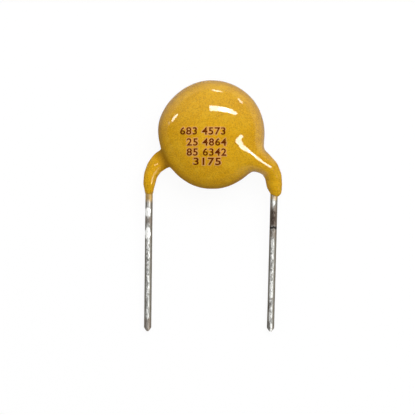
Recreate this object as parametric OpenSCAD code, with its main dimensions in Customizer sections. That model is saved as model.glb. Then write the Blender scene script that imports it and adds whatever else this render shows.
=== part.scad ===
// Ceramic disc capacitor with two radial wire leads and a dipped epoxy body.
// It lies on its back, as it comes to rest: on the crown of its back and on both lead tips.
// Lengths are in millimetres and angles in degrees.

/* [Ceramic] */
// Diameter of the ceramic disc
ceramic_d = 6; // [5:0.1:6.4]
// Thickness of the ceramic disc
ceramic_t = 2.2; // [1.6:0.1:2.8]
// Bare margin of ceramic outside each electrode
electrode_margin = 0.4; // [0.2:0.05:0.8]
// Thickness of each fired silver electrode
electrode_t = 0.03; // [0.02:0.01:0.06]

/* [Leads] */
// Diameter of the tinned copper wire
lead_d = 0.6; // [0.5:0.05:0.7]
// Distance between the two leads where they turn down
lead_spacing = 10; // [9.6:0.1:12]
// Distance from the disc's centre down to the lead tips
lead_reach = 16.1; // [12:0.1:30]
// Angle below the horizontal at which each wire leaves the disc
exit_angle = 30; // [25:1:35]
// Bend radius of the wire where it turns down
knee_radius = 2.0; // [1.4:0.1:2.2]
// Bend radius of the wire where it steps off the ceramic
step_radius = 1; // [0.8:0.1:1.4]
// Distance past the ceramic's edge at which the wire steps back to the middle
step_clearance = 0.45; // [0.3:0.05:0.6]
// Lean of the front lead towards the middle
front_lean = 1; // [-2:0.1:2]
// Lean of the back lead towards the middle
back_lean = -0.6; // [-2:0.1:2]
// Slant of the cutter's marks at the lead tips, from the wire's axis
cut_slant = 38; // [25:1:50]
// Width of the ridge that the cutter leaves at each tip
cut_ridge = 0.16; // [0.1:0.02:0.3]

/* [Solder] */
// Solder between each wire and its electrode
solder_gap = 0.05; // [0.03:0.01:0.1]
// Length of the solder along each wire
solder_length = 3.8; // [3:0.1:4.2]
// Radius of the solder round the wire's axis
solder_radius = 0.66; // [0.56:0.02:0.7]

/* [Epoxy body] */
// Resin past the ceramic's edge
rim_cover = 1.2; // [1:0.05:1.6]
// Resin over the wires at the centre of each face
face_cover = 0.72; // [0.5:0.01:1.2]
// How far the resin sagged towards the leads before it set
sag = 0.36; // [0:0.02:0.5]
// How far a lump of resin stands out at the rim
lump = 0.16; // [0:0.02:0.25]
// Where the lump is, from +X round to the top
lump_angle = 172; // [60:1:175]
// Exponent of the body's section: 2 is an ellipse, and more is squarer
body_fullness = 2.2; // [2:0.05:2.5]
// Resin over each wire where it shows as a ridge on the face
ridge_cover = 0.24; // [0.2:0.02:0.45]
// Distance from the centre at which the ridge starts
ridge_start = 2.3; // [2:0.1:2.8]

/* [Front leg of resin] */
// Resin over the wire at the front leg's root
front_root_cover = 0.48; // [0.3:0.02:0.6]
// Resin over the wire at the front leg's end
front_end_cover = 0.18; // [0.1:0.01:0.3]
// How evenly the front leg narrows: 1 is even, and more is sooner
front_taper = 1; // [1:0.1:3]
// How far the front leg's end hangs off the wire, outwards
front_drift = 0.12; // [0:0.01:0.15]
// Distance from the knee's corner down to the front leg's end
front_run = 2.28; // [1.8:0.05:3]
// Reach of the fillet between the body and the front leg
front_web = 0.9; // [0.4:0.05:1.1]

/* [Back leg of resin] */
// Resin over the wire at the back leg's root
back_root_cover = 0.42; // [0.2:0.02:0.6]
// Resin over the wire at the back leg's end
back_end_cover = 0.05; // [0.03:0.01:0.3]
// How evenly the back leg narrows: 1 is even, and more is sooner
back_taper = 1.5; // [1:0.1:3]
// How far the back leg's end hangs off the wire, outwards
back_drift = 0; // [0:0.01:0.15]
// Distance from the knee's corner down to the back leg's end
back_run = 2.25; // [1.8:0.05:3]
// Reach of the fillet between the body and the back leg
back_web = 0.55; // [0.4:0.05:1.1]

/* [Hidden] */
$fn = 96;

FRONT = 1;
BACK = -1;
slack = 1; // overrun of a cutting solid past what it cuts
bend_swell = 0.01; // how much fatter the wire is round a bend
bend_overlap = 0.05; // how far a straight runs into a bend
swell_share = 0.65; // where the swelling below the knee fades out, as a share of the coated leg
lead_r = lead_d / 2;
face_z = ceramic_t / 2 + electrode_t;
wire_z = face_z + solder_gap + lead_r;
bare_angle = acos(lead_r / solder_radius); // where the solder's outline narrows to the wire
lead_tail = 0.9 * solder_length / 2 * bare_angle / 90; // the wire's end stays inside the solder
body_r = ceramic_d / 2 + rim_cover;
body_h = wire_z + lead_r + face_cover;

// Everything on one side of the part is laid out as on the front, where the lead turns down at
// +X. The back's side is the same layout after half a turn round the Y axis.
module on_side(side) {
    rotate([0, side == FRONT ? 0 : 180, 0]) children();
}

// ---------------------------------------------------------------- the wires' route

function unit(v) = v / norm(v);

outward = [cos(exit_angle), -sin(exit_angle), 0];
step_at = ceramic_d / 2 + step_clearance;
corner_at = lead_spacing / 2 / cos(exit_angle);
tail_end = -lead_tail * outward + [0, 0, wire_z];
step_corner = step_at * outward + [0, 0, wire_z];
knee_corner = corner_at * outward;

function lean(side) = side == FRONT ? front_lean : back_lean;
function down(side) = [-sin(lean(side)), -cos(lean(side)), 0];
function leg_run(side) = side == FRONT ? front_run : back_run;
function tip(side) = knee_corner + down(side) * (lead_reach + knee_corner.y) / cos(lean(side));

// One bend of the wire: its start, its two axes, its radius and the angle that it turns through.
function bend(before, corner, after, radius) =
    let (
        u = unit(corner - before),
        v = unit(after - corner),
        turn = acos(u * v)
    )
    [corner - u * radius * tan(turn / 2), u, unit(v - (u * v) * u), radius, turn];

step_bend = bend(tail_end, step_corner, knee_corner, step_radius);
function knee_bend(side) = bend(step_corner, knee_corner, tip(side), knee_radius);

// A point on a bend at a share of its turn.
function along(b, share) =
    b[0] + b[3] * (sin(b[4] * share) * b[1] + (1 - cos(b[4] * share)) * b[2]);

// ---------------------------------------------------------------- how it comes to rest

// Half-height of the body's section at a share of its radius.
function crown(share) = body_h * pow(1 - pow(share, body_fullness), 1 / body_fullness);

// How far the body reaches in the direction that leans from its axis by an angle.
function reach(angle) =
    max([for (s = [0:0.005:1]) s * body_r * sin(angle) + crown(s) * cos(angle)]);

// The pitch at which the crown and the lead tips stand on one plane.
function settled(pitch, rounds) =
    rounds == 0 ? pitch
    : settled(asin((reach(pitch) - lead_r * cos(pitch)) / lead_reach), rounds - 1);

rest_pitch = settled(8, 8);

// ---------------------------------------------------------------- the metal and the ceramic

// A straight wire from one point to another, with some more at either end.
module rod(from, to, more_from = 0, more_to = 0) {
    u = unit(to - from);
    translate(from - more_from * u)
        rotate([0, acos(u.z), atan2(u.y, u.x)])
            cylinder(h = norm(to - from) + more_from + more_to, r = lead_r);
}

// The wire round one bend, where forming has swelled it a little.
module elbow(b) {
    centre = b[0] + b[3] * b[2];
    across = cross(b[1], b[2]);
    multmatrix([
        [-b[2].x, b[1].x, across.x, centre.x],
        [-b[2].y, b[1].y, across.y, centre.y],
        [-b[2].z, b[1].z, across.z, centre.z]
    ])
        rotate_extrude(angle = b[4]) translate([b[3], 0]) circle(r = lead_r + bend_swell);
}

// What the cutter takes off one flank of a lead's tip.
module nip(side, flank) {
    translate(tip(side))
        rotate([0, 0, -lean(side)]) translate([flank * cut_ridge / 2, 0, 0])
            rotate([0, 0, -flank * cut_slant])
                translate([flank > 0 ? 0 : -lead_d, -slack, -lead_d])
                    cube([lead_d, 2 * lead_d + slack, 2 * lead_d]);
}

// The wire from the knee to its tip. What forming swelled fades out inside the coated leg.
module leg_wire(side) {
    from = along(knee_bend(side), 1);
    fade = swell_share * (leg_run(side) - norm(from - knee_corner));
    length = norm(tip(side) - from);
    translate(from) rotate([90, 0, -lean(side)]) rotate_extrude() polygon([
        [0, -bend_overlap], [lead_r, -bend_overlap], [lead_r + bend_swell / 2, fade / 2],
        [lead_r, fade], [lead_r, length], [0, length]
    ]);
}

// The wire from the bend where it steps off the ceramic to its tip. Each straight runs a little
// way into the bends, inside their swelling.
module bent_wire(side) {
    elbow(step_bend);
    rod(along(step_bend, 1), along(knee_bend(side), 0), bend_overlap, bend_overlap);
    elbow(knee_bend(side));
    leg_wire(side);
}

module lead(side) {
    difference() {
        union() {
            rod(tail_end, along(step_bend, 0), 0, bend_overlap);
            bent_wire(side);
        }
        nip(side, -1);
        nip(side, 1);
    }
}

// Half of the solder's outline, from its far point to where the wire comes out of it.
function spindle() = [
    for (i = [0:9])
        let (a = -90 + (90 + bare_angle) * i / 9)
        [solder_radius * cos(a), solder_length / 2 * a / 90]
];

// A shape turned round the wire's axis and cut flat where it wets the electrode.
module soldered(outline) {
    intersection() {
        translate([0, 0, wire_z]) rotate([0, 90, -exit_angle]) rotate_extrude() polygon(outline);
        translate([-body_r, -body_r, face_z]) cube([2 * body_r, 2 * body_r, body_h]);
    }
}

module solder() {
    soldered([each spindle(), [lead_r, -lead_tail], [0, -lead_tail]]);
}

// The solder together with the straight wire through it.
module soldered_tail() {
    straight = norm(along(step_bend, 0) - tail_end) - lead_tail + bend_overlap;
    soldered([each spindle(), [lead_r, straight], [0, straight]]);
}

module electrode() {
    translate([0, 0, ceramic_t / 2])
        cylinder(h = electrode_t, d = ceramic_d - 2 * electrode_margin);
}

module dielectric() {
    translate([0, 0, -ceramic_t / 2]) cylinder(h = ceramic_t, d = ceramic_d);
}

// ---------------------------------------------------------------- the dipped skin
// The skin is where a field is zero. The field is the distance from a domed disc, blended with
// the distance from a leg that follows the wire. Rings of rays find it from the middle outwards.

function clamped(t) = min(max(t, 0), 1);
function eased(t) = let (c = clamped(t)) c * c * (3 - 2 * c);

// The body's radius at an angle round its axis.
function rim_radius(angle) =
    body_r + sag * pow(max(-sin(angle), 0), 2)
    + lump * pow(max(cos(angle - lump_angle), 0), 12);

function body_field(side, p) =
    let (
        r = norm([p.x, p.y]) / rim_radius(atan2(p.y, side * p.x)),
        h = abs(p.z) / body_h,
        gauge = pow(pow(r, body_fullness) + pow(h, body_fullness), 1 / body_fullness)
    )
    norm(p) * (1 - 1 / max(gauge, 0.01)) - (gauge < 0.01 ? body_h : 0);

// Centre and radius of one leg's resin, from the ridge on the face to the leg's end.
function leg_stations(side) =
    let (
        knee = knee_bend(side),
        root = lead_r + (side == FRONT ? front_root_cover : back_root_cover),
        end = lead_r + (side == FRONT ? front_end_cover : back_end_cover),
        taper = side == FRONT ? front_taper : back_taper,
        drift = side == FRONT ? front_drift : back_drift,
        from = along(knee, 1),
        to = knee_corner + (leg_run(side) - end) * down(side)
    )
    [
        [ridge_start * outward + [0, 0, wire_z - ridge_cover], lead_r],
        [along(step_bend, 0), lead_r + ridge_cover],
        [along(step_bend, 1), lead_r + ridge_cover],
        for (i = [0:3])
            [along(knee, i / 3), end + (root - end) * pow(1 - i / 6, taper)],
        for (i = [1:3])
            [
                from + (to - from) * i / 3 + [drift * eased(i / 3), 0, 0],
                end + (root - end) * pow(0.5 - i / 6, taper)
            ]
    ];

function stretch_field(p, s, e) =
    let (v = e[0] - s[0], t = clamped((p - s[0]) * v / (v * v)))
    norm(p - s[0] - t * v) - s[1] - t * (e[1] - s[1]);

function leg_field(p, stations) =
    min([for (i = [1:len(stations) - 1]) stretch_field(p, stations[i - 1], stations[i])]);

function blended(a, b, k) = min(a, b) - pow(max(k - abs(a - b), 0), 2) / (4 * k);

function skin_field(side, p, stations) =
    blended(
        body_field(side, p), leg_field(p, stations), side == FRONT ? front_web : back_web
    );

// Distance along a ray from inside the skin to the skin.
function found(side, from, ray, stations, low, high, rounds) =
    rounds == 0 ? (low + high) / 2
    : let (mid = (low + high) / 2)
      skin_field(side, from + mid * ray, stations) < 0
          ? found(side, from, ray, stations, mid, high, rounds - 1)
          : found(side, from, ray, stations, low, mid, rounds - 1);

// Each ring's seat: its centre, the angle of its plane's normal below +X, and how strongly its
// rays crowd towards the ridge. The planes turn with the wire, so that they never cross inside.
RAYS = 48;
BODY_RINGS = 22;
ARM_RINGS = 3;
KNEE_RINGS = 10;
LEG_RINGS = 4;
END_RINGS = 6;
CROWDING = 20;
join_at = body_r + 0.2;
pivot = join_at / sin(exit_angle);

function wire_height(r) =
    wire_z * (r < step_at ? 1 : (corner_at - r) / (corner_at - step_at));

function ring_seats(side) =
    let (
        knee = knee_bend(side),
        stations = leg_stations(side),
        last = stations[len(stations) - 1],
        start = knee[0],
        arm = [join_at * outward.x, join_at * outward.y, wire_height(join_at)]
    )
    [
        for (i = [0:BODY_RINGS])
            let (
                r = join_at * sin(90 * i / BODY_RINGS),
                turn = asin(r / pivot),
                height = wire_height(r) * eased((r - 2) / (join_at - 2))
            )
            [[r * cos(turn), -r * sin(turn), height], turn, CROWDING * eased(r / 3)],
        for (i = [1:ARM_RINGS])
            [arm + (start - arm) * i / (ARM_RINGS + 1), exit_angle, CROWDING],
        for (i = [0:KNEE_RINGS])
            [
                along(knee, i / KNEE_RINGS),
                exit_angle + (90 + lean(side) - exit_angle) * i / KNEE_RINGS,
                CROWDING * (1 - i / KNEE_RINGS)
            ],
        for (i = [1:LEG_RINGS])
            [
                along(knee, 1) + (last[0] - along(knee, 1)) * i / LEG_RINGS,
                90 + lean(side), 0
            ],
        for (i = [1:END_RINGS])
            [last[0] + last[1] * sin(80 * i / END_RINGS) * down(side), 90 + lean(side), 0]
    ];

function ring(side, seat, stations) =
    [
        for (j = [0:RAYS - 1])
            let (
                even = side * 360 * j / RAYS,
                a = even + seat[2] * cos(even),
                ray = [cos(a) * sin(seat[1]), cos(a) * cos(seat[1]), sin(a)],
                p = seat[0] + found(side, seat[0], ray, stations, 0, body_r + 1, 14) * ray
            )
            [side * p.x, p.y, side * p.z]
    ];

function side_rings(side) =
    let (stations = leg_stations(side))
    [for (seat = ring_seats(side)) ring(side, seat, stations)];

module skin() {
    front = side_rings(FRONT);
    back = side_rings(BACK);
    rings = [
        for (i = [len(back) - 1:-1:1]) back[i],
        for (i = [0:len(front) - 1]) front[i]
    ];
    points = [for (r = rings) for (p = r) p];
    last = (len(rings) - 1) * RAYS;
    // Each four-sided patch is split along its shorter diagonal.
    faces = [
        [for (j = [0:RAYS - 1]) j],
        for (i = [0:len(rings) - 2]) for (j = [0:RAYS - 1])
            let (
                a = i * RAYS + j,
                b = i * RAYS + (j + 1) % RAYS,
                c = a + RAYS,
                d = b + RAYS
            )
            each norm(points[a] - points[d]) < norm(points[b] - points[c])
                ? [[a, c, d], [a, d, b]]
                : [[a, c, b], [b, c, d]],
        [for (j = [RAYS - 1:-1:0]) last + j]
    ];
    polyhedron(points = points, faces = faces);
}

// ---------------------------------------------------------------- the eight pieces

// The middle of the whole part at rest, from the body and from the outermost point of each side.
function side_span(side) =
    let (stations = leg_stations(side))
    max(tip(side).x + lead_r, max([for (s = stations) s[0].x + s[1]]));
far_y = reach(90 - rest_pitch);
near_y = -lead_reach * cos(rest_pitch) - lead_r * sin(rest_pitch);

module at_rest() {
    translate([
        (side_span(BACK) - side_span(FRONT)) / 2, -(far_y + near_y) / 2, reach(rest_pitch)
    ])
        rotate([rest_pitch, 0, 0]) children();
}

module ceramic_disc() {
    color("#e6dfd0") at_rest() dielectric();
}

module front_electrode() {
    color("#c9c7c0") at_rest() on_side(FRONT) electrode();
}

module back_electrode() {
    color("#c9c7c0") at_rest() on_side(BACK) electrode();
}

module front_lead() {
    color("#a9a9a6") at_rest() on_side(FRONT) lead(FRONT);
}

module back_lead() {
    color("#a9a9a6") at_rest() on_side(BACK) lead(BACK);
}

module front_solder() {
    color("#8f9090") at_rest() on_side(FRONT) solder();
}

module back_solder() {
    color("#8f9090") at_rest() on_side(BACK) solder();
}

module epoxy_coating() {
    color("#d2a528") at_rest() difference() {
        skin();
        dielectric();
        for (side = [FRONT, BACK]) on_side(side) {
            electrode();
            soldered_tail();
            bent_wire(side);
        }
    }
}

ceramic_disc();
front_electrode();
back_electrode();
front_lead();
back_lead();
front_solder();
back_solder();
epoxy_coating();
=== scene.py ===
import logging
import math
from abc import ABC, abstractmethod
from dataclasses import dataclass, field
from enum import Enum
from typing import Any, Callable, ClassVar, Iterable, Optional, Sequence, Union

import bpy
from mathutils import Matrix, Vector


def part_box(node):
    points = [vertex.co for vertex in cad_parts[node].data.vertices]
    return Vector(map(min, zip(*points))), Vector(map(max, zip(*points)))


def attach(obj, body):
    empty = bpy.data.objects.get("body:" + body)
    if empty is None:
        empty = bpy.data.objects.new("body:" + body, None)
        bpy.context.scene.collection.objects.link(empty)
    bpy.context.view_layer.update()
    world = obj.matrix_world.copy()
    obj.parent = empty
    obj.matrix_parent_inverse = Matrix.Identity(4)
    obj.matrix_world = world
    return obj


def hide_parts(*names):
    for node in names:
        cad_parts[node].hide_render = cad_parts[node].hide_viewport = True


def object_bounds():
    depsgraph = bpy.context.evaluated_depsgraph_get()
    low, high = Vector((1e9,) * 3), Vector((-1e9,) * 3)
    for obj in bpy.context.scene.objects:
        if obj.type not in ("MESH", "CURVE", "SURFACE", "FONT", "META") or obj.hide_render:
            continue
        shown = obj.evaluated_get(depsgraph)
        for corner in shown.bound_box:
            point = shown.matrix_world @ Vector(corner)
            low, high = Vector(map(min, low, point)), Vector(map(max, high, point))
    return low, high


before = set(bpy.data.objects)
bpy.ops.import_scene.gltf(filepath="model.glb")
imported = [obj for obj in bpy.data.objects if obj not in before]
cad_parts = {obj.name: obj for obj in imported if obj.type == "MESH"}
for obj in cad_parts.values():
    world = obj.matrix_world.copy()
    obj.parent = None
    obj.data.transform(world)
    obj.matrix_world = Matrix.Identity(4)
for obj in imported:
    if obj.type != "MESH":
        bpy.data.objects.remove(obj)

CAD_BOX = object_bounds()
MM = 0.001
UP = Vector((0.0, 0.0, 1.0))
MERGE_GAP = 0.0004
WHITE = (1.0, 1.0, 1.0)
Triple = tuple[float, float, float]
Colour = Triple
Range = tuple[float, float]
Piece = bpy.types.Object
Settings = Optional[dict[str, Any]]
Inputs = Optional[dict[Union[str, int], Any]]
Number = Union["Sock", float, int]
log = logging.getLogger("disc_capacitor")


# ---- shader maths


class Sock:
    """A shader output that takes part in Python expressions."""

    def __init__(self, tree: "Tree", socket: bpy.types.NodeSocket) -> None:
        """Keep the output and the tree that new Math nodes go into."""
        self.tree = tree
        self.socket = socket

    def _math(self, operation: str, *values: Number) -> "Sock":
        """Add one Math node and return its output."""
        return self.tree.node("ShaderNodeMath", {"operation": operation}, dict(enumerate(values)))

    def __add__(self, other: Number) -> "Sock":
        """Return self + other."""
        return self._math("ADD", self, other)

    __radd__ = __add__

    def __sub__(self, other: Number) -> "Sock":
        """Return self - other."""
        return self._math("SUBTRACT", self, other)

    def __rsub__(self, other: Number) -> "Sock":
        """Return other - self."""
        return self._math("SUBTRACT", other, self)

    def __mul__(self, other: Number) -> "Sock":
        """Return self * other."""
        return self._math("MULTIPLY", self, other)

    __rmul__ = __mul__

    def __truediv__(self, other: Number) -> "Sock":
        """Return self / other."""
        return self._math("DIVIDE", self, other)

    def __pow__(self, other: Number) -> "Sock":
        """Return self to the power of other."""
        return self._math("POWER", self, other)

    def __abs__(self) -> "Sock":
        """Return the distance from nought."""
        return self._math("ABSOLUTE", self)

    def atleast(self, other: Number) -> "Sock":
        """Return the larger of the two."""
        return self._math("MAXIMUM", self, other)

    def atmost(self, other: Number) -> "Sock":
        """Return the smaller of the two."""
        return self._math("MINIMUM", self, other)

    def between(self, low: float, high: float) -> "Sock":
        """Ease from 0 at low to 1 at high; high may be the smaller.

        Args:
            low: The value that gives 0.
            high: The value that gives 1.

        Returns:
            The eased share.
        """
        start, end, flip = (low, high, False) if low < high else (high, low, True)
        eased = self.tree.node(
            "ShaderNodeMapRange",
            {"interpolation_type": "SMOOTHSTEP"},
            {"Value": self, "From Min": start, "From Max": end},
        )
        return 1 - eased if flip else eased


class Tree:
    """A node tree that is written as expressions."""

    def __init__(self, owner: Union[bpy.types.Material, bpy.types.World]) -> None:
        """Empty the node tree of a material or a world."""
        owner.use_nodes = True
        self.nodes = owner.node_tree.nodes
        self.links = owner.node_tree.links
        self.nodes.clear()

    def make(
        self, kind: str, settings: Settings = None, inputs: Inputs = None
    ) -> bpy.types.Node:
        """Add one node.

        Args:
            kind: The node's type.
            settings: The node's own properties.
            inputs: A value or a Sock for each named or numbered socket.

        Returns:
            The new node.
        """
        node = self.nodes.new(kind)
        for name, value in (settings or {}).items():
            setattr(node, name, value)
        for name, value in (inputs or {}).items():
            if isinstance(value, Sock):
                self.links.new(value.socket, node.inputs[name])
            else:
                node.inputs[name].default_value = value
        return node

    def node(
        self, kind: str, settings: Settings = None, inputs: Inputs = None,
        out: Union[str, int] = 0,
    ) -> Sock:
        """Add one node, as make() does, and return one of its outputs.

        Args:
            kind, settings, inputs: What make() takes.
            out: The name or number of the output.
        """
        return Sock(self, self.make(kind, settings, inputs).outputs[out])

    def place(self) -> Sock:
        """Return the point being shaded, in millimetres."""
        point = self.node("ShaderNodeTexCoord", out="Object")
        return self.vector("SCALE", point, scale=1 / MM)

    def vector(self, operation: str, a: Any, b: Any = (0.0, 0.0, 0.0), scale: float = 1.0) -> Sock:
        """Work on one or two vectors.

        Args:
            operation: The Vector Math node's operation.
            a: The first vector.
            b: The second vector.
            scale: The factor of a SCALE.

        Returns:
            A vector, or a number for a dot product or a length.
        """
        inputs = {0: a, 1: b}
        if operation == "SCALE":
            inputs = {0: a, "Scale": scale}
        out = "Value" if operation in ("DOT_PRODUCT", "LENGTH") else "Vector"
        return self.node("ShaderNodeVectorMath", {"operation": operation}, inputs, out)

    def noise(
        self, point: Sock, per_mm: float, detail: float = 2.0, rough: float = 0.5,
        twist: float = 0.0, offset: float = 0.0,
    ) -> Sock:
        """Return a noise from 0 to 1 with its middle near one half.

        Args:
            point: The place in millimetres.
            per_mm: How many cells lie in a millimetre.
            detail: Octaves.
            rough: How strong the finer octaves are.
            twist: Distortion.
            offset: Shift of the pattern, which tells equal noises apart.

        Returns:
            The noise.
        """
        if offset:
            point = self.vector("ADD", point, (offset, offset * 1.7, -offset))
        return self.node(
            "ShaderNodeTexNoise",
            {"noise_dimensions": "3D"},
            {"Vector": point, "Scale": per_mm, "Detail": detail, "Roughness": rough,
             "Distortion": twist},
        )

    def stretched(self, point: Sock, scale: Sequence[float]) -> Sock:
        """Return a place stretched by a factor along each axis."""
        return self.node(
            "ShaderNodeMapping", {"vector_type": "POINT"}, {"Vector": point, "Scale": tuple(scale)}
        )

    def mix(self, share: Number, a: Any, b: Any) -> Sock:
        """Mix two colours.

        Args:
            share: How much of b there is.
            a: A colour or a Sock.
            b: A colour or a Sock.

        Returns:
            The mixed colour.
        """
        rgba = [(*c, 1.0) if isinstance(c, tuple) else c for c in (a, b)]
        return self.node(
            "ShaderNodeMix",
            {"data_type": "RGBA", "blend_type": "MIX", "clamp_factor": True},
            {0: share, 6: rgba[0], 7: rgba[1]},
            out=2,
        )

    def bump(self, height: Sock, depth_mm: float, strength: float = 1.0) -> Sock:
        """Return a normal that follows a height.

        Args:
            height: From 0 to 1.
            depth_mm: What 1 stands for.
            strength: Share of the effect.

        Returns:
            The normal.
        """
        return self.node(
            "ShaderNodeBump", None,
            {"Strength": strength, "Distance": depth_mm * MM, "Height": height}, "Normal",
        )


# ---- finishes


@dataclass(frozen=True)
class Finish(ABC):
    """A surface finish: its constant settings and a recipe for what varies."""

    name: str
    constants: ClassVar[dict[str, Any]] = {}

    @abstractmethod
    def varying(self, tree: Tree) -> dict[str, Sock]:
        """Return the shader inputs that vary over the surface.

        Args:
            tree: The material's tree.

        Returns:
            A Sock for each such input.
        """

    def material(self) -> bpy.types.Material:
        """Return the finish as a material, made at the first call."""
        made = bpy.data.materials.get(self.name)
        if made is None:
            made = bpy.data.materials.new(self.name)
            tree = Tree(made)
            inputs = {**self.constants, **self.varying(tree)}
            shader = tree.node("ShaderNodeBsdfPrincipled", None, inputs)
            tree.make("ShaderNodeOutputMaterial", None, {"Surface": shader})
        return made

    def dress(self, piece: Piece) -> None:
        """Give a piece this finish and nothing else."""
        piece.data.materials.clear()
        piece.data.materials.append(self.material())


@dataclass(frozen=True)
class Seat:
    """Where the disc lies: its centre in millimetres and the way that its front faces."""

    centre: Vector
    facing: Vector

    @classmethod
    def from_frame(cls) -> "Seat":
        """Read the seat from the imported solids."""

        def middle(node: str) -> Vector:
            """Return the middle of a solid's box."""
            low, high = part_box(node)
            return (low + high) / 2

        facing = middle("front_electrode") - middle("back_electrode")
        return cls(middle("ceramic_disc") / MM, facing.normalized())

    @property
    def pitch(self) -> float:
        """Return how far the disc leans about the X axis, in radians."""
        return math.atan2(-self.facing.y, self.facing.z)

    def matrix(self, flipped: bool = False) -> Matrix:
        """Return the matrix from the disc's own frame to the row's, in millimetres.

        Args:
            flipped: Whether the layout is turned half round the Y axis first.
        """
        turn = Matrix.Rotation(math.pi if flipped else 0.0, 4, "Y")
        return Matrix.Translation(self.centre) @ Matrix.Rotation(self.pitch, 4, "X") @ turn

    def depth(self, tree: Tree, place: Sock) -> tuple[Sock, Sock]:
        """Return the height over the disc's middle plane and the distance from its axis.

        Args:
            tree: The material's tree.
            place: The point in millimetres.
        """
        away = tree.vector("SUBTRACT", place, tuple(self.centre))
        height = tree.vector("DOT_PRODUCT", away, tuple(self.facing))
        square = tree.vector("DOT_PRODUCT", away, away)
        return height, (square - height * height).atleast(0.0) ** 0.5


@dataclass(frozen=True)
class ResinFinish(Finish):
    """Glossy ochre dipped resin with painted shade along the disc's rim, fading out where it ends
    as a film on the back lead.

    A Range holds the millimetres at which a mask is 0 and 1. What is dulled has less coat.
    """

    seat: Seat
    film_end: Vector
    film_up: Vector
    ochre: Colour = (0.690, 0.362, 0.007)
    deep: Colour = (0.610, 0.298, 0.004)
    light: Colour = (0.760, 0.440, 0.020)
    # This dark brown is used for dark grain and as painted shade along the disc's rim.
    grain_and_rim_shade: Colour = (0.330, 0.155, 0.014)
    film: Colour = (0.620, 0.390, 0.090)
    rim_from: Range = (3.6, 4.3)
    rim_to: Range = (5.1, 4.6)
    rim_height: Range = (1.5, 0.6)
    rim_dulled: float = 0.4
    band_from: Range = (2.95, 3.5)
    band_way: Triple = (-0.5, -0.87, 0.0)
    band_along: Range = (-6.0, -2.0)
    band_dulled: float = 0.92
    legs_from: Range = (4.9, 5.3)
    legs_shift: Triple = (0.5, 0.0, 0.0)
    legs_dulled: float = 0.8
    grain_dulled: float = 0.2
    film_rise: float = 1.6
    film_ragged: float = 0.9
    constants: ClassVar[dict[str, Any]] = {
        "Coat Roughness": 0.045, "Coat IOR": 1.5, "Specular IOR Level": 0.0,
    }

    def varying(self, tree: Tree) -> dict[str, Sock]:
        """Return colour, roughness, coat, alpha and normal."""
        place = tree.place()
        height, radius = self.seat.depth(tree, place)
        clouds = tree.noise(place, 0.35, 3, 0.5)
        patches = tree.noise(place, 1.3, 3, 0.6, offset=7)
        grain = tree.noise(place, 7.5, 2, 0.7, offset=3)
        fleck = tree.noise(place, 15, 1, 0.5, offset=11)
        colour = tree.mix(clouds.between(0.3, 0.7), self.deep, self.ochre)
        colour = tree.mix(patches.between(0.45, 0.75) * 0.6, colour, self.light)
        colour = tree.mix(grain.between(0.46, 0.64) * 0.42, colour, self.grain_and_rim_shade)
        colour = tree.mix(fleck.between(0.50, 0.64) * 0.80, colour, self.light)
        on_body = radius.between(*self.rim_to)
        edge = radius.between(*self.rim_from) * on_body * abs(height).between(*self.rim_height)
        low = tree.vector("DOT_PRODUCT", place, self.band_way).between(*self.band_along)
        band = radius.between(*self.band_from) * on_body * low
        middle = self.seat.centre + Vector(self.legs_shift)
        beside = tree.vector("SUBTRACT", place, tuple(middle))
        legs = tree.vector("LENGTH", beside).between(*self.legs_from)
        # Painted shade: the disc's rim is darkened towards brown to stand in for the shade along
        # it.
        colour = tree.mix(edge * (0.30 + patches * 0.45), colour, self.grain_and_rim_shade)
        film = self._film(tree, place, patches)
        colour = tree.mix(film.between(0.7, 0.1) * 0.8, colour, self.film)
        peel = tree.noise(place, 1.6, 2, 0.45, offset=5)
        pores = tree.noise(place, 9.0, 2, 0.6, offset=9)
        return {
            "Base Color": colour,
            "Roughness": 0.34 + grain * 0.16,
            "Coat Weight": (
                1 - (edge * self.rim_dulled).atleast(band * self.band_dulled)
                - legs * self.legs_dulled - grain.between(0.66, 0.8) * self.grain_dulled
            ),
            "Alpha": film.between(0.0, 0.8),
            "Normal": tree.bump(peel + pores * 0.10, 0.012, 0.6),
        }

    def _film(self, tree: Tree, place: Sock, patches: Sock) -> Sock:
        """Return 0 at the film's end on the back lead, 1 where the resin is full."""
        away = tree.vector("SUBTRACT", place, tuple(self.film_end))
        along = tree.vector("DOT_PRODUCT", away, tuple(self.film_up))
        west = tree.vector("DOT_PRODUCT", place, (-1.0, 0.0, 0.0))
        full = west.between(0.5, 0.0)
        share = along * self.film_rise + (patches - 0.5) * self.film_ragged
        return share.atleast(0.0).atmost(1.0).atleast(full)


class Mark(Enum):
    """What a stretch of the tinned wire looks like."""

    # Painted glints: near-white ovals on the wire that stand in for reflected light.
    BRIGHT = (0.95, 0.95, 0.93)
    TARNISH = (0.050, 0.032, 0.022)
    RING = (0.006, 0.003, 0.002)
    BROWN = (0.170, 0.135, 0.105)
    STRAW = (0.440, 0.285, 0.085)


@dataclass(frozen=True)
class Stretch:
    """A stretch of wire with a mark, measured from where the resin ends."""

    mark: Mark
    start: float
    end: float
    strength: float
    across: float = 0.0
    width: float = 9.0


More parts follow.
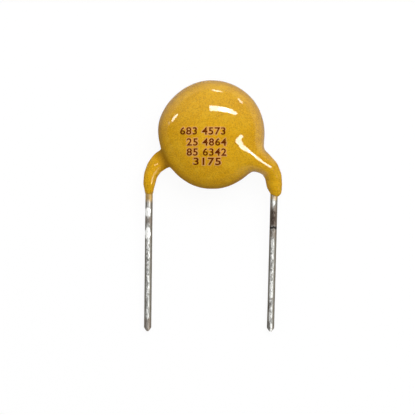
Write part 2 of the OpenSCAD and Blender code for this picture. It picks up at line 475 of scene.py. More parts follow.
@dataclass(frozen=True)
class TinFinish(Finish):
    """Tinned wire: mottled, with a painted highlight along its top and painted brown-grey shade
    down its flanks.

    Across the wire, its left flank is -1 and its right flank is 1.
    """

    bare_end: Vector
    down: Vector
    radius: float
    stretches: tuple[Stretch, ...]
    seed: float
    top_highlight: Colour = (0.900, 0.905, 0.880)
    grey: Colour = (0.240, 0.240, 0.225)
    # The flank colour is used for dark specks and as painted shade down the wire's flanks.
    flank: Colour = (0.150, 0.128, 0.095)
    highlight_band: Range = (0.62, 0.12)
    highlight_shift: float = 0.15
    flank_shade_from: Range = (0.36, 0.74)
    flank_shade_shift: float = 0.1
    streak: Triple = (1.0, 0.42, 1.0)
    constants: ClassVar[dict[str, Any]] = {"Specular IOR Level": 0.5, "Metallic": 0.75}

    def varying(self, tree: Tree) -> dict[str, Sock]:
        """Return colour, roughness and normal."""
        place = tree.place()
        away = tree.vector("SUBTRACT", place, tuple(self.bare_end))
        along = tree.vector("DOT_PRODUCT", away, tuple(self.down))
        side = self.down.cross(UP).normalized()
        across = tree.vector("DOT_PRODUCT", away, tuple(-side)) / self.radius
        streaked = tree.stretched(place, self.streak)
        mottle = tree.noise(streaked, 4.2, 3, 0.65, 0.6, self.seed)
        specks = tree.noise(streaked, 11.0, 2, 0.6, 0.3, self.seed + 4)
        wander = (tree.noise(place, 0.9, 1, 0.5, 0.0, self.seed + 8) - 0.5) * 0.5
        # Painted highlight: the wire's top is coloured brighter to stand in for the light that it
        # reflects.
        top = abs(across + self.highlight_shift + wander).between(*self.highlight_band)
        colour = tree.mix(top, self.grey, self.top_highlight)
        colour = tree.mix(mottle.between(0.47, 0.60) * 0.85, colour, self.grey)
        colour = tree.mix(specks.between(0.53, 0.64) * 0.75, colour, self.flank)
        # Painted shade: the wire's flanks are darkened towards brown-grey to stand in for the
        # shade down its sides.
        flank = abs(across + self.flank_shade_shift).between(*self.flank_shade_from)
        flank = flank * (0.68 + mottle.between(0.58, 0.42) * 0.26)
        colour = tree.mix(flank, colour, self.flank)
        rough = 0.50 + mottle * 0.22
        for stretch in self.stretches:
            share = self._share(stretch, along, across, mottle, specks)
            colour = tree.mix(share * stretch.strength, colour, stretch.mark.value)
            if stretch.mark is Mark.BRIGHT:
                rough = rough + share * 0.12
        return {
            "Base Color": colour,
            "Roughness": rough,
            "Normal": tree.bump(mottle + specks * 0.35, 0.03, 0.6),
        }

    @staticmethod
    def _share(stretch: Stretch, along: Sock, across: Sock, mottle: Sock, specks: Sock) -> Sock:
        """Return where a stretch shows, with a ragged edge."""
        ragged = along + (mottle - 0.5) * 0.35 + (specks - 0.5) * 0.12
        # A painted glint shows as a ragged oval.
        if stretch.mark is Mark.BRIGHT:
            half = (stretch.end - stretch.start) / 2
            lengthwise = (ragged - (stretch.start + half)) / half
            sideways = (across - stretch.across) / stretch.width
            oval = lengthwise * lengthwise + sideways * sideways + (specks - 0.5) * 1.6
            return oval.between(1.2, 0.7)
        blur = min(0.20, (stretch.end - stretch.start) / 2.5)
        share = ragged.between(stretch.start - blur, stretch.start + blur) * ragged.between(
            stretch.end + blur, stretch.end - blur
        )
        if stretch.mark is Mark.TARNISH:
            share = share * (0.62 + specks.between(0.40, 0.56) * 0.38)
        return share * abs(across - stretch.across).between(stretch.width, stretch.width * 0.6)


@dataclass(frozen=True)
class MetalFinish(Finish):
    """A plain cast or fired metal, mottled over its surface."""

    light: Colour
    dark: Colour
    per_mm: float
    constants: ClassVar[dict[str, Any]] = {"Metallic": 1.0}

    def varying(self, tree: Tree) -> dict[str, Sock]:
        """Return colour, roughness and normal."""
        place = tree.place()
        mottle = tree.noise(place, self.per_mm, 4, 0.6, 0.4)
        specks = tree.noise(place, self.per_mm * 4, 2, 0.6, offset=2)
        colour = tree.mix(mottle.between(0.35, 0.65), self.light, self.dark)
        return {
            "Base Color": tree.mix(specks.between(0.6, 0.75) * 0.5, colour, self.dark),
            "Roughness": 0.35 + mottle * 0.3,
            "Normal": tree.bump(mottle + specks * 0.4, 0.02, 0.6),
        }


@dataclass(frozen=True)
class CeramicFinish(Finish):
    """Fired ceramic: matt and finely grained, with faint press marks."""

    body: Colour = (0.62, 0.55, 0.42)
    shade: Colour = (0.48, 0.40, 0.29)
    constants: ClassVar[dict[str, Any]] = {"Specular IOR Level": 0.3}

    def varying(self, tree: Tree) -> dict[str, Sock]:
        """Return colour, roughness and normal."""
        place = tree.place()
        clouds = tree.noise(place, 0.6, 3, 0.5)
        grain = tree.noise(place, 14, 2, 0.7, offset=1)
        colour = tree.mix(clouds.between(0.35, 0.7) * 0.6, self.body, self.shade)
        return {
            "Base Color": tree.mix(grain.between(0.58, 0.7) * 0.5, colour, self.shade),
            "Roughness": 0.72 + grain * 0.2,
            "Normal": tree.bump(grain, 0.01, 0.6),
        }


@dataclass(frozen=True)
class InkFinish(Finish):
    """Marking ink that has sunk a little into the resin and is worn in places."""

    ink: Colour
    faded: Colour
    cover: float
    constants: ClassVar[dict[str, Any]] = {
        "Coat Weight": 0.05, "Coat Roughness": 0.2, "Specular IOR Level": 0.0,
    }

    def varying(self, tree: Tree) -> dict[str, Sock]:
        """Return colour, roughness and alpha."""
        place = tree.place()
        blot = tree.noise(place, 3.4, 2, 0.6, offset=13)
        dots = tree.noise(place, 16, 2, 0.6, offset=17)
        return {
            "Base Color": tree.mix(blot.between(0.45, 0.72) * 0.7, self.ink, self.faded),
            "Roughness": 0.38 + dots * 0.25,
            "Alpha": self.cover - dots.between(0.58, 0.72) * self.cover * 0.35
            - blot.between(0.56, 0.74) * self.cover * 0.3,
        }


# ---- the modeller's bench


class Bench:
    """The moves that pieces are modelled with. A piece is in millimetres until it is finished."""

    @staticmethod
    def clear() -> None:
        """Leave edit mode and select nothing."""
        if bpy.context.object and bpy.context.object.mode != "OBJECT":
            bpy.ops.object.mode_set(mode="OBJECT")
        bpy.ops.object.select_all(action="DESELECT")

    @classmethod
    def pick(cls, piece: Piece) -> Piece:
        """Make a piece the only one selected, and the active one."""
        cls.clear()
        piece.select_set(True)
        bpy.context.view_layer.objects.active = piece
        return piece

    @classmethod
    def rod(cls, name: str, start: Vector, end: Vector, radius: float, sides: int) -> Piece:
        """Add a capped cylinder between two points and turn it into place.

        Args:
            name: The new piece's name.
            start: The middle of its first end.
            end: The middle of its other end.
            radius: Its radius.
            sides: How many flat sides it has.

        Returns:
            The new piece, unturned, with its place in its mesh.
        """
        cls.clear()
        bpy.ops.mesh.primitive_cylinder_add(
            vertices=sides, radius=radius, depth=(end - start).length,
            location=(start + end) / 2,
            rotation=(end - start).to_track_quat("Z", "Y").to_euler(),
        )
        piece = bpy.context.object
        piece.name = piece.data.name = name
        cls.settle(piece)
        return piece

    @classmethod
    def copy_of(cls, node: str, name: str) -> Piece:
        """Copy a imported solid's mesh onto the bench, merged, in millimetres.

        Args:
            node: The solid's name.
            name: The copy's name.

        Returns:
            The copy.
        """
        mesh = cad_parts[node].data.copy()
        piece = bpy.data.objects.new(name, mesh)
        mesh.name = name
        bpy.context.scene.collection.objects.link(piece)
        piece.scale = (1 / MM,) * 3
        cls.settle(piece)
        cls.edit(piece, whole=True)
        bpy.ops.mesh.remove_doubles(threshold=MERGE_GAP)
        cls.clear()
        return piece

    @classmethod
    def edit(cls, piece: Piece, mode: str = "FACE", whole: bool = False) -> None:
        """Open a piece in edit mode with the whole of it selected, or nothing."""
        cls.pick(piece)
        bpy.ops.object.mode_set(mode="EDIT")
        bpy.ops.mesh.select_mode(type=mode)
        bpy.ops.mesh.select_all(action="SELECT" if whole else "DESELECT")

    @classmethod
    def choose_faces(cls, piece: Piece, wanted: Callable[[Vector, Vector], bool]) -> int:
        """Select the faces that pass a test of their middle and normal.

        Args:
            piece: The piece, which is left in edit mode.
            wanted: Takes a face's middle and normal.

        Returns:
            How many faces are selected.
        """
        cls.edit(piece)
        bpy.ops.object.mode_set(mode="OBJECT")
        chosen = [wanted(face.center, face.normal) for face in piece.data.polygons]
        piece.data.polygons.foreach_set("select", chosen)
        bpy.ops.object.mode_set(mode="EDIT")
        return sum(chosen)

    @classmethod
    def settle(cls, piece: Piece) -> None:
        """Move a piece's place, turn and scale into its mesh."""
        cls.pick(piece)
        bpy.ops.object.transform_apply(location=True, rotation=True, scale=True)

    @classmethod
    def modify(cls, piece: Piece, kind: str, **settings: Any) -> None:
        """Add one modifier and apply it.

        Args:
            piece: The piece to change.
            kind: The modifier's type.
            **settings: Its settings.
        """
        cls.pick(piece)
        modifier = piece.modifiers.new(kind.lower(), kind)
        for name, value in settings.items():
            setattr(modifier, name, value)
        bpy.ops.object.modifier_apply(modifier=modifier.name)

    @classmethod
    def roughen(cls, piece: Piece, size: float, depth: float, group: str = "") -> None:
        """Press a piece's surface in by up to a depth, in soft patches.

        Args:
            piece: The piece to change.
            size: How wide the patches are.
            depth: The deepest that they go.
            group: Vertex group that the depth is weighed by.
        """
        clouds = bpy.data.textures.new(f"{piece.name}_{size}", "CLOUDS")
        clouds.noise_scale = size
        clouds.noise_depth = 1
        cls.modify(
            piece, "DISPLACE", texture=clouds, texture_coords="LOCAL", strength=depth,
            mid_level=1.0, vertex_group=group,
        )

    @classmethod
    def heal(cls, piece: Piece, gap: float = MERGE_GAP) -> None:
        """Merge doubles and turn every face outwards."""
        cls.edit(piece, whole=True)
        bpy.ops.mesh.remove_doubles(threshold=gap)
        bpy.ops.mesh.normals_make_consistent(inside=False)
        cls.clear()

    @classmethod
    def finish(
        cls, piece: Piece, slot: str, finish: Finish, nodes: Iterable[str] = (),
        crease: Optional[float] = None,
    ) -> Piece:
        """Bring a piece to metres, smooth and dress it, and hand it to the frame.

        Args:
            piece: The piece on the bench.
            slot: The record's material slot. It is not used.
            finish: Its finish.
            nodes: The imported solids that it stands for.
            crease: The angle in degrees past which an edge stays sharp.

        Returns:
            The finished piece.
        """
        piece.scale = (MM,) * 3
        cls.settle(piece)
        if crease is None:
            bpy.ops.object.shade_smooth()
        else:
            bpy.ops.object.shade_smooth_by_angle(angle=math.radians(crease))
        finish.dress(piece)
        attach(piece, "root")
        if nodes:
            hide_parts(*nodes)
        log.info("%s: %d faces", piece.name, len(piece.data.polygons))
        cls.clear()
        return piece


# ---- the leads


class Side(Enum):
    """The face of the disc that a lead is soldered to."""

    FRONT = "front"
    BACK = "back"


@dataclass
class Bend:
    """One bend of a wire, in the plane of the straights that it joins."""

    before: Vector
    corner: Vector
    after: Vector
    radius: float

    def __post_init__(self) -> None:
        """Work out the two straights' directions and the turn between them."""
        self.arriving = (self.corner - self.before).normalized()
        self.leaving = (self.after - self.corner).normalized()
        self.turn = self.arriving.angle(self.leaving)
        self.axis = self.arriving.cross(self.leaving).normalized()
        setback = self.radius * math.tan(self.turn / 2)
        self.start = self.corner - self.arriving * setback
        self.end = self.corner + self.leaving * setback
        self.centre = self.start + self.axis.cross(self.arriving) * self.radius


@dataclass
class Lead:
    """A tinned wire from its tail in the solder to its cut tip."""

    side: Side
    seat: Seat
    lean: float
    leg_run: float
    stretches: tuple[Stretch, ...]
    seed: float
    diameter: float = 0.6
    spacing: float = 10.0
    reach: float = 16.1
    exit_angle: float = 30.0
    knee_radius: float = 2.0
    step_radius: float = 1.0
    step_at: float = 3.45
    wire_height: float = 1.48
    ridge_height: float = 2.2
    tail: float = 1.196
    cut_slant: float = 38.0
    cut_ridge: float = 0.16
    cut_back: float = 0.015
    sides: int = 40
    ring_pitch: float = 0.085
    step_rings: int = 8
    knee_rings: int = 20
    dents: tuple[tuple[float, float], ...] = ((0.55, 0.012), (0.12, 0.004))
    crease: float = 35.0
    end_reach: float = 0.05
    bends: list[Bend] = field(init=False)

    def __post_init__(self) -> None:
        """Lay out the wire's route in the disc's own frame, as on the front."""
        exit_angle, lean = math.radians(self.exit_angle), math.radians(self.lean)
        self.outward = Vector((math.cos(exit_angle), -math.sin(exit_angle), 0.0))
        lifted = UP * self.wire_height
        self.knee_corner = self.outward * (self.spacing / 2 / math.cos(exit_angle))
        self.down = Vector((-math.sin(lean), -math.cos(lean), 0.0))
        length = (self.reach + self.knee_corner.y) / math.cos(lean)
        self.tip = self.knee_corner + self.down * length
        self.start = lifted - self.outward * self.tail
        step = lifted + self.outward * self.step_at
        self.bends = [
            Bend(self.start, step, self.knee_corner, self.step_radius),
            Bend(step, self.knee_corner, self.tip, self.knee_radius),
        ]

    @property
    def name(self) -> str:
        """Return the finished piece's name."""
        return f"wire_{self.side.value}"

    def place(self) -> Matrix:
        """Return where the route lies in the row's frame."""
        return self.seat.matrix(self.side is Side.BACK)

    def on_ridge(self, out: float) -> Vector:
        """Return a point over the wire, some way out from the disc's centre."""
        return self.place() @ (self.outward * out + UP * self.ridge_height)

    def bare_end(self) -> Vector:
        """Return where the wire comes out of the resin, in the row's frame."""
        return self.place() @ (self.knee_corner + self.down * self.leg_run)

    def down_in_row(self) -> Vector:
        """Return the way to the tip, in the row's frame."""
        return (self.place().to_3x3() @ self.down).normalized()

    def build(self) -> Piece:
        """Model, dress and place the wire.

        Returns:
            The finished piece.
        """
        first, knee = self.bends
        wire = Bench.rod(self.name, self.start, first.start, self.diameter / 2, self.sides)
        self._turn(wire, first, self.step_rings)
        self._extend(wire, first.end, knee.start)
        self._turn(wire, knee, self.knee_rings)
        self._extend(wire, knee.end, self.tip + self.down * self.diameter)
        Bench.heal(wire)
        self._cut(wire)
        wire.matrix_world = self.place()
        Bench.settle(wire)
        for size, depth in self.dents:
            Bench.roughen(wire, size, depth)
        finish = TinFinish(
            f"tin_{self.side.value}", self.bare_end(), self.down_in_row(), self.diameter / 2,
            self.stretches, self.seed,
        )
        node = f"{self.side.value}_lead"
        return Bench.finish(wire, "tinned_wire", finish, [node], self.crease)

    def _end_face(self, wire: Piece, at: Vector, facing: Vector) -> None:
        """Select the wire's open end at a point."""
        found = Bench.choose_faces(
            wire,
            lambda middle, normal: (
                (middle - at).length < self.end_reach and normal.dot(facing) > 0.95
            ),
        )
        if found != 1:
            raise ValueError(f"{wire.name}: {found} end faces at {tuple(at)}")

    def _turn(self, wire: Piece, bend: Bend, steps: int) -> None:
        """Spin the wire's end round a bend."""
        self._end_face(wire, bend.start, bend.arriving)
        bpy.ops.mesh.spin(steps=steps, angle=-bend.turn, center=bend.centre, axis=bend.axis)
        Bench.clear()

    def _extend(self, wire: Piece, start: Vector, end: Vector) -> None:
        """Draw the wire's end out along a straight, with a ring at each step."""
        along = end - start
        self._end_face(wire, start, along.normalized())
        rings = max(1, round(along.length / self.ring_pitch))
        for _ in range(rings):
            bpy.ops.mesh.extrude_region_move(TRANSFORM_OT_translate={"value": along / rings})
        Bench.clear()

    def _cut(self, wire: Piece) -> None:
        """Nip the tip from both flanks, as side cutters leave it, with a flat between."""
        across = UP.cross(self.down).normalized()
        slant = math.radians(self.cut_slant)
        end = self.tip - self.down * self.cut_back
        for flank in (-1, 1, 0):
            facing = across * flank * math.cos(slant) + self.down * math.sin(slant)
            Bench.edit(wire, whole=True)
            bpy.ops.mesh.bisect(
                plane_co=end + across * flank * self.cut_ridge / 2,
                plane_no=facing.normalized(), use_fill=True, clear_outer=True,
            )
            Bench.clear()


# ---- the resin


@dataclass(frozen=True)
class Ease:
    """A place on the ridge over a wire where the resin has flowed out.

    It lies some way out along the wire, reaches round itself and fades over a width. It takes
    rounds of smoothing, or lifts the surface.
    """

    out: float
    reach: float
    fade: float
    rounds: int = 0
    lift: float = 0.0


@dataclass
class ResinSkin:
    """The dipped skin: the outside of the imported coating, drawn smooth and made uneven."""

    seat: Seat
    leads: Sequence[Lead]
    sharp: float = 60.0
    sleeve: float = 1.2
    sleeve_steps: tuple[float, ...] = (0.06, 0.94)
    end_reach: float = 1.5
    rim_step: float = 0.025
    levels: int = 2
    relax_rounds: int = 8
    eases: tuple[Ease, ...] = (Ease(3.4, 2.0, 1.6, 200), Ease(4.4, 1.8, 1.4, 300),
                               Ease(5.0, 1.3, 1.0, 200), Ease(3.9, 3.2, 3.0, lift=0.13))
    wave: float = 1.6
    wave_depth: float = 0.03
    dimple: float = 0.5
    dimple_depth: float = 0.006
    uneven_to: float = 5.4
    uneven_fade: float = 1.2
    uneven_least: float = 0.08

    def build(self) -> Piece:
        """Model, dress and place the skin.

        Returns:
            The finished piece, still on the bench's scale for the print to be laid on.
        """
        skin = Bench.copy_of("epoxy_coating", "resin_skin")
        self._keep_outside(skin)
        self._close_ends(skin)
        self._ease_ridges(skin)
        Bench.modify(
            skin, "SUBSURF", levels=self.levels, render_levels=self.levels,
            subdivision_type="CATMULL_CLARK", use_limit_surface=False,
        )
        Bench.modify(skin, "SMOOTH", factor=0.5, iterations=self.relax_rounds)
        self._weigh(skin)
        Bench.roughen(skin, self.wave, self.wave_depth, "body")
        Bench.roughen(skin, self.dimple, self.dimple_depth, "body")
        return skin

    def finish(self, skin: Piece) -> Piece:
        """Dress the skin and hand it to the frame.

        Args:
            skin: What build() returned.

        Returns:
            The finished piece.
        """
        back = next(lead for lead in self.leads if lead.side is Side.BACK)
        finish = ResinFinish("resin", self.seat, back.bare_end(), -back.down_in_row())
        return Bench.finish(skin, "epoxy", finish, ["epoxy_coating"])

    def _keep_outside(self, skin: Piece) -> None:
        """Delete the walls of the hollow that the ceramic and the wires fill."""
        top = max(face.center.z for face in skin.data.polygons)
        Bench.choose_faces(skin, lambda middle, normal: middle.z > top - 1e-4)
        bpy.ops.mesh.faces_select_linked_flat(sharpness=math.radians(self.sharp))
        bpy.ops.mesh.select_all(action="INVERT")
        bpy.ops.mesh.delete(type="FACE")
        bpy.ops.mesh.select_all(action="SELECT")
        bpy.ops.mesh.tris_convert_to_quads(face_threshold=math.pi, shape_threshold=math.pi)
        Bench.clear()
        log.info("outside: %d faces", len(skin.data.polygons))

    def _close_ends(self, skin: Piece) -> None:
        """Run a short sleeve up round each wire and close it."""
        for lead in self.leads:
            Bench.edit(skin, "EDGE")
            bpy.ops.mesh.select_non_manifold(
                extend=False, use_wire=False, use_multi_face=False,
                use_non_contiguous=False, use_verts=False,
            )
            bpy.ops.object.mode_set(mode="OBJECT")
            near = lead.bare_end()
            corners = skin.data.vertices
            for edge in skin.data.edges:
                middle = (corners[edge.vertices[0]].co + corners[edge.vertices[1]].co) / 2
                edge.select = edge.select and (middle - near).length < self.end_reach
            bpy.ops.object.mode_set(mode="EDIT")
            bpy.ops.mesh.remove_doubles(threshold=self.rim_step)
            for share in self.sleeve_steps:
                bpy.ops.mesh.extrude_region_move(
                    TRANSFORM_OT_translate={"value": -lead.down_in_row() * self.sleeve * share}
                )
            bpy.ops.mesh.edge_face_add()
            Bench.clear()
        Bench.heal(skin)

    def _ease_ridges(self, skin: Piece) -> None:
        """Let the ridge over each wire flow out, so that its crest falls evenly."""
        for lead in self.leads:
            for ease in self.eases:
                middle = lead.on_ridge(ease.out)
                group = skin.vertex_groups.new(name=f"{lead.side.value}_{ease.out}")
                for corner in skin.data.vertices:
                    share = (ease.reach - (corner.co - middle).length) / ease.fade
                    share = min(max(share, 0.0), 1.0)
                    group.add([corner.index], share * share * (3 - 2 * share), "REPLACE")
                if ease.rounds:
                    kind, settings = "SMOOTH", {"factor": 0.5, "iterations": ease.rounds}
                else:
                    kind, settings = "DISPLACE", {"strength": ease.lift, "mid_level": 0.0}
                Bench.modify(skin, kind, vertex_group=group.name, **settings)

    def _weigh(self, skin: Piece) -> None:
        """Keep the unevenness off the legs, where the resin is thin."""
        group = skin.vertex_groups.new(name="body")
        for corner in skin.data.vertices:
            away = (corner.co - self.seat.centre).length
            share = (self.uneven_to - away) / self.uneven_fade
            group.add([corner.index], min(max(share, self.uneven_least), 1.0), "REPLACE")


@dataclass(frozen=True)
class Row:
    """One row of the marking: its digits and the box that they fill, in millimetres."""

    digits: str
    left: float
    right: float
    middle: float
    height: float = 0.55


@dataclass
class Marking:
    """Generic digits printed on the front, each row fitted to its box."""

    rows: Sequence[Row]
    lift: float = 0.004
    thickness: float = 0.006
    stain_spread: float = 0.075
    ink_spread: float = 0.016
    merge_gap: float = 0.0008
    cuts: int = 2
    crease: float = 30.0
    start_height: ClassVar[float] = 8.0
    letter_space: ClassVar[float] = 1.12
    curve_steps: ClassVar[int] = 6

    def build(self, skin: Piece) -> None:
        """Print the ink and the paler stain round it.

        Args:
            skin: The resin that the ink lies on, in millimetres.
        """
        stain = InkFinish("ink_stain", (1.00, 0.53, 0.16), (0.95, 0.50, 0.10), 0.55)
        ink = InkFinish("ink", (0.125, 0.022, 0.001), (0.250, 0.080, 0.004), 0.97)
        over_stain = self.lift + self.thickness * 1.5
        self._print(skin, "marking_stain", stain, self.stain_spread, self.lift)
        self._print(skin, "marking_digits", ink, self.ink_spread, over_stain)

    def _print(
        self, skin: Piece, name: str, finish: Finish, spread: float, lift: float
    ) -> None:
        """Set every row in type and lay it on the resin."""
        rows = [self._row(row, spread, f"{name}_{index}") for index, row in enumerate(self.rows)]
        Bench.clear()
        for row in rows:
            row.select_set(True)
        bpy.context.view_layer.objects.active = rows[0]
        bpy.ops.object.join()
        piece = bpy.context.object
        piece.name = piece.data.name = name
        Bench.heal(piece, self.merge_gap)
        Bench.edit(piece, whole=True)
        bpy.ops.mesh.subdivide(number_cuts=self.cuts)
        Bench.clear()
        Bench.modify(
            piece, "SHRINKWRAP", wrap_method="PROJECT", target=skin, use_project_z=True,
            use_negative_direction=True, use_positive_direction=False, offset=lift,
        )
        Bench.modify(piece, "SOLIDIFY", thickness=self.thickness, offset=1.0)
        Bench.finish(piece, "epoxy", finish, (), self.crease)

    @classmethod
    def _row(cls, row: Row, spread: float, name: str) -> Piece:
        """Set one row in type, over the resin, fitted to its box."""
        Bench.clear()
        bpy.ops.object.text_add()
        text = bpy.context.object
        text.name = name
        text.data.body = row.digits
        text.data.space_character = cls.letter_space
        text.data.resolution_u = cls.curve_steps
        bpy.context.view_layer.update()
        low, high = (Vector(text.bound_box[corner]) for corner in (0, 6))
        text.data.offset = spread / (row.height / (high.y - low.y))
        bpy.ops.object.convert(target="MESH")
        grow = Vector(((row.right - row.left) / (high.x - low.x), row.height / (high.y - low.y)))
        text.scale = (grow.x, grow.y, 1.0)
        middle = (low + high) / 2
        text.location = (
            (row.left + row.right) / 2 - middle.x * grow.x,
            row.middle - middle.y * grow.y,
            cls.start_height,
        )
        Bench.settle(text)
        return text


# ---- the stage


class Use(Enum):
    """What a lamp is for: to light the part, or to be mirrored in its gloss."""

    LIGHT = "light"
    GLINT = "glint"


@dataclass(frozen=True)
class Lamp:
    """A soft lamp, placed by the way it shines from and by how large it looks."""

    name: str
    use: Use
    lean_x: float
    lean_y: float
    wide: float
    tall: float
    radiance: float
    turn: float = 0.0
    shape: str = "ELLIPSE"
    distance: float = 0.25

    def light(self, target: Vector) -> None:
        """Hang the lamp over a point, with its width along X before its turn.

        Args:
            target: What it shines at, in metres.
        """
        lean = (math.tan(math.radians(self.lean_x)), math.tan(math.radians(self.lean_y)), 1.0)
        away = Vector(lean).normalized()
        wide_way = Vector((1.0, 0.0, 0.0)) - away * away.x
        wide_way.normalize()
        axes = Matrix((wide_way, away.cross(wide_way), away)).transposed()
        spin = Matrix.Rotation(math.radians(self.turn), 3, "Z")
        bpy.ops.object.light_add(type="AREA", location=target + away * self.distance)
        lamp = bpy.context.object
        lamp.name = self.name
        lamp.rotation_mode = "QUATERNION"
        lamp.rotation_quaternion = (axes @ spin).to_quaternion()
        size = [2 * self.distance * math.tan(math.radians(a / 2)) for a in (self.wide, self.tall)]
        lamp.data.shape = self.shape
        lamp.data.size, lamp.data.size_y = size
        area = size[0] * size[1] * (math.pi / 4 if self.shape == "ELLIPSE" else 1.0)
        lamp.data.energy = self.radiance * math.pi * area
        lamp.visible_camera = False
        lamp.visible_glossy = self.use is Use.GLINT
        lamp.visible_diffuse = self.use is Use.LIGHT


@dataclass(frozen=True)
class Studio:
    """A plain pale floor, a pale surrounding and the camera."""

    lamps: Sequence[Lamp]
    camera_x: float = -0.406
    camera_y: float = -0.080
    focus_height: float = 2.3
    distance: float = 160.0
    field: float = 33.07
    roll: float = 0.25
    sensor: float = 36.0
    floor_size: float = 3.0
    floor_drop: float = 0.00002
    floor_grey: float = 0.62
    floor_white: float = 0.94
    floor_mirrored: float = 0.46
    fill: float = 0.45
    dark_side: float = 0.06
    light_side: float = 0.50

    def build(self, target: Vector) -> None:
        """Set the stage round the part.

        Args:
            target: The middle of the part, in metres.
        """
        self._floor()
        self._surrounding()
        for lamp in self.lamps:
            lamp.light(target)
        self._camera()
        scene = bpy.context.scene
        scene.view_settings.view_transform = "Standard"
        Bench.clear()

    @staticmethod
    def _seen(tree: Tree, mirrored: float = 1.0) -> Sock:
        """Return 1 for rays that show the background itself or its reflection.

        Args:
            tree: The tree that asks.
            mirrored: What to return for a reflection.
        """
        camera, glossy, through = (
            tree.node("ShaderNodeLightPath", out=kind)
            for kind in ("Is Camera Ray", "Is Glossy Ray", "Is Transmission Ray")
        )
        return camera.atleast(glossy.atleast(through) * mirrored)

    def _floor(self) -> None:
        """Lay a pale floor that keeps the part's shadow.

        Its paper is white to the camera and grey to the part, so that it throws less light up.
        """
        Bench.clear()
        bpy.ops.mesh.primitive_plane_add(
            size=self.floor_size, location=(0.0, 0.0, -self.floor_drop)
        )
        floor = bpy.context.object
        floor.name = "floor"
        Bench.settle(floor)
        paper = bpy.data.materials.new("pale_floor")
        tree = Tree(paper)
        grey, pale = (
            tree.node("ShaderNodeBsdfDiffuse", None, {"Color": (shade, shade, shade, 1.0)})
            for shade in (self.floor_grey, 1.0)
        )
        camera = tree.node("ShaderNodeLightPath", out="Is Camera Ray")
        matt = tree.node("ShaderNodeMixShader", None, {0: camera, 1: grey, 2: pale})
        white = tree.node("ShaderNodeEmission", None, {"Color": (*WHITE, 1.0), "Strength": 1.0})
        shown = self._seen(tree, self.floor_mirrored) * self.floor_white
        mixed = tree.node("ShaderNodeMixShader", None, {0: shown, 1: matt, 2: white})
        tree.make("ShaderNodeOutputMaterial", None, {"Surface": mixed})
        floor.data.materials.append(paper)

    def _surrounding(self) -> None:
        """Light the part softly from all round, with a white horizon behind it."""
        world = bpy.data.worlds.new("surrounding")
        bpy.context.scene.world = world
        tree = Tree(world)
        way = tree.node("ShaderNodeTexCoord", out="Generated")
        rise = tree.vector("DOT_PRODUCT", way, (0.0, 0.0, 1.0))
        north = tree.vector("DOT_PRODUCT", way, (0.0, 1.0, 0.0))
        room = tree.mix(north.between(-0.3, 0.7), (self.dark_side,) * 3, (self.light_side,) * 3)
        shown = tree.mix(rise.between(0.30, 0.10), room, WHITE)
        light = tree.mix(self._seen(tree), (self.fill,) * 3, shown)
        sky = tree.node("ShaderNodeBackground", None, {"Color": light, "Strength": 1.0})
        tree.make("ShaderNodeOutputWorld", None, {"Surface": sky})

    def _camera(self) -> None:
        """Look straight down at the part."""
        Bench.clear()
        bpy.ops.object.camera_add(
            location=(
                self.camera_x * MM, self.camera_y * MM,
                (self.focus_height + self.distance) * MM,
            )
        )
        camera = bpy.context.object
        camera.name = "camera"
        camera.rotation_euler.z = math.radians(self.roll)
        camera.data.sensor_width = self.sensor
        camera.data.lens = self.sensor * self.distance / self.field
        camera.data.clip_start, camera.data.clip_end = 0.01, 10.0
        bpy.context.scene.camera = camera


# ---- the whole


# After a lamp's use come its lean along X and Y, width and height, all in degrees, then its
# radiance and its turn in degrees.
LAMPS = (
    Lamp("over_the_top", Use.GLINT, 10, 21.8, 27, 8.8, 18, 2, "RECTANGLE"),
    Lamp("over_the_corner", Use.GLINT, 22, 22.3, 27, 9.2, 18, 3),
    Lamp("beside", Use.GLINT, 38, -19.5, 20, 10, 17, -12),
    Lamp("beside_low", Use.GLINT, 50, -25.5, 22, 16, 17),
    Lamp("far_top", Use.GLINT, 20, 72, 16, 7, 13),
    Lamp("far_corner", Use.GLINT, 67, 68, 9, 7, 12),
    Lamp("low_right", Use.GLINT, 68, -52, 6, 6, 14),
    Lamp("left_window", Use.GLINT, -63, 35, 12, 9, 16),
    Lamp("far_left", Use.GLINT, -75, 35, 8, 9, 4),
    Lamp("key", Use.LIGHT, 14, 24, 40, 40, 5.7),
)

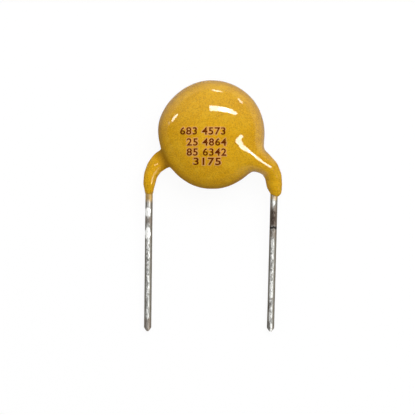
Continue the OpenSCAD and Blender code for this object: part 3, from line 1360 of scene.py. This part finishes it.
# Each stretch's start and end are in millimetres down from the resin.
FRONT_STRETCHES = (
    Stretch(Mark.STRAW, -0.2, 0.16, 0.6),
    Stretch(Mark.BROWN, 0.70, 2.30, 0.85),
    Stretch(Mark.TARNISH, 1.05, 2.30, 0.96, -0.10, 0.9),
    Stretch(Mark.RING, 2.36, 2.56, 1.0),
    Stretch(Mark.BROWN, 2.66, 3.25, 0.8),
    Stretch(Mark.TARNISH, 8.5, 9.3, 0.5, -0.6, 0.7),
    Stretch(Mark.TARNISH, 10.1, 11.2, 0.5, -0.7, 0.7),
)

# The back lead's two near-white ovals are painted glints.
BACK_STRETCHES = (
    Stretch(Mark.BROWN, 0.40, 1.00, 0.32),
    Stretch(Mark.STRAW, -0.4, 0.36, 0.9),
    Stretch(Mark.BRIGHT, 0.85, 1.70, 0.9, -0.25, 0.80),
    Stretch(Mark.BROWN, 1.65, 2.2, 0.8),
    Stretch(Mark.BRIGHT, 2.5, 3.45, 0.95, -0.25, 0.75),
    Stretch(Mark.BROWN, 9.9, 11.4, 0.75),
)

# Each row of digits has its left, right and middle in millimetres, in the part's frame.
ROWS = (
    Row("683 4573", -2.56, 0.96, 5.918),
    Row("25 4864", -2.04, 1.04, 5.057),
    Row("85 6342", -2.04, 1.04, 4.274),
    Row("3175", -1.50, 0.60, 3.546),
)


def dress_inside() -> None:
    """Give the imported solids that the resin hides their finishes."""
    ceramic = CeramicFinish("ceramic")
    silver = MetalFinish("silver", (0.76, 0.75, 0.72), (0.52, 0.51, 0.48), 3.0)
    solder = MetalFinish("solder", (0.62, 0.62, 0.61), (0.40, 0.40, 0.41), 1.8)
    ceramic.dress(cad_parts["ceramic_disc"])
    for side in Side:
        silver.dress(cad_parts[f"{side.value}_electrode"])
        solder.dress(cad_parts[f"{side.value}_solder"])


def main() -> None:
    """Build the part's pieces in order, then the stage."""
    logging.basicConfig(level=logging.INFO, format="%(name)s: %(message)s")
    seat = Seat.from_frame()
    log.info("disc centre %s, pitch %.3f degrees", tuple(seat.centre), math.degrees(seat.pitch))
    leads = (
        Lead(Side.FRONT, seat, lean=1.0, leg_run=2.28, stretches=FRONT_STRETCHES, seed=21.0),
        Lead(Side.BACK, seat, lean=-0.6, leg_run=2.25, stretches=BACK_STRETCHES, seed=52.0),
    )
    for lead in leads:
        lead.build()
    resin = ResinSkin(seat, leads)
    skin = resin.build()
    Marking(ROWS).build(skin)
    resin.finish(skin)
    dress_inside()
    low, high = CAD_BOX
    Studio(LAMPS).build((low + high) / 2)


if __name__ == "__main__":
    main()
